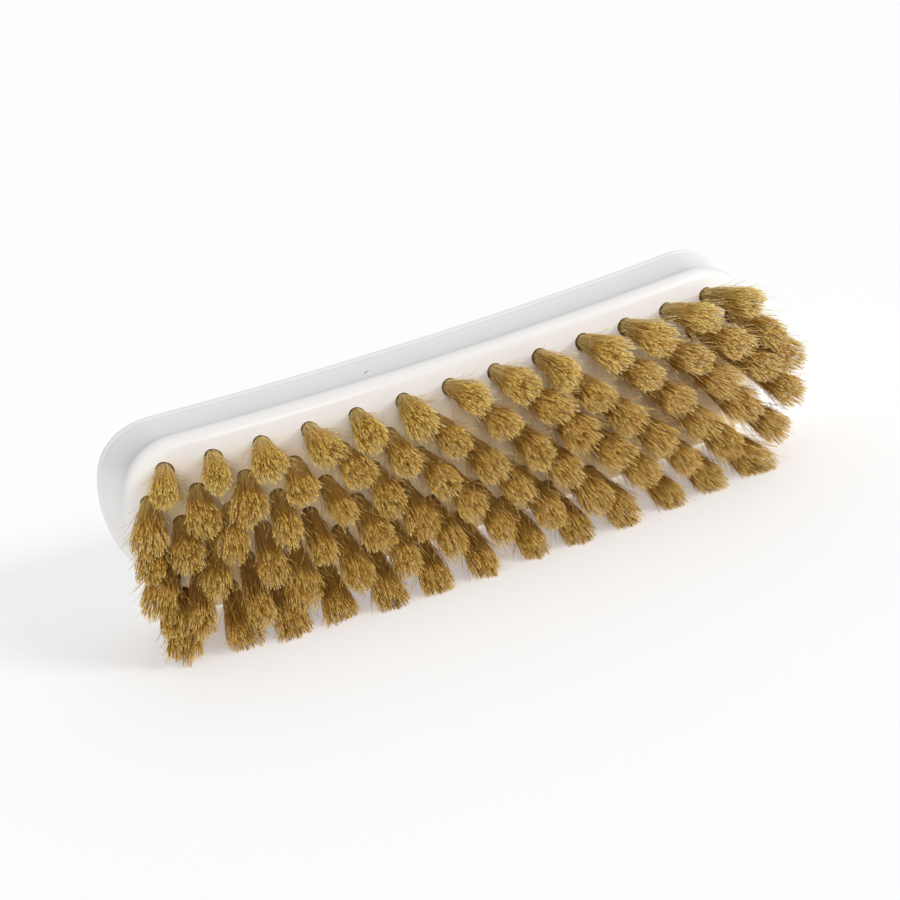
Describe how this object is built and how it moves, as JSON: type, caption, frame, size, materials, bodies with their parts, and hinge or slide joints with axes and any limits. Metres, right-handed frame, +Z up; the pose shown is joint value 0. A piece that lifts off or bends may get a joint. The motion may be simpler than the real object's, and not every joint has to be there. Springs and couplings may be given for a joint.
{
  "type": "shoe brush",
  "caption": "Shoe polishing brush with a bent white plastic block, a finger cove round its sides and staggered tufts of stiff tan bristle.",
  "frame": {"origin": "under the middle of the brush's bounding box, on the surface that its long side lies on", "axes": "+X along the brush, +Y towards the back of the grip so the bristles point to -Y, +Z up from the long side it lies on"},
  "size_m": [0.179, 0.0606, 0.0472],
  "materials": {
    "white_plastic": "satin-gloss injection-moulded white plastic",
    "bristle": "natural stiff tan bristle, cut ends"
  },
  "bodies": {
    "root": {"brush_block": "white_plastic", "bristle_strip_01": "bristle", "bristle_strip_02": "bristle", "bristle_strip_03": "bristle", "bristle_strip_04": "bristle", "bristle_strip_05": "bristle", "bristle_strip_06": "bristle", "bristle_strip_07": "bristle", "bristle_strip_08": "bristle", "bristle_strip_09": "bristle", "bristle_strip_10": "bristle", "bristle_strip_11": "bristle", "bristle_strip_12": "bristle", "bristle_strip_13": "bristle", "bristle_strip_14": "bristle", "bristle_strip_15": "bristle", "bristle_strip_16": "bristle", "bristle_strip_17": "bristle", "bristle_strip_18": "bristle", "bristle_strip_19": "bristle", "bristle_strip_20": "bristle", "bristle_strip_21": "bristle", "bristle_strip_22": "bristle", "bristle_strip_23": "bristle", "bristle_strip_24": "bristle", "bristle_strip_25": "bristle", "bristle_strip_26": "bristle", "bristle_strip_27": "bristle"}
  },
  "joints": []
}
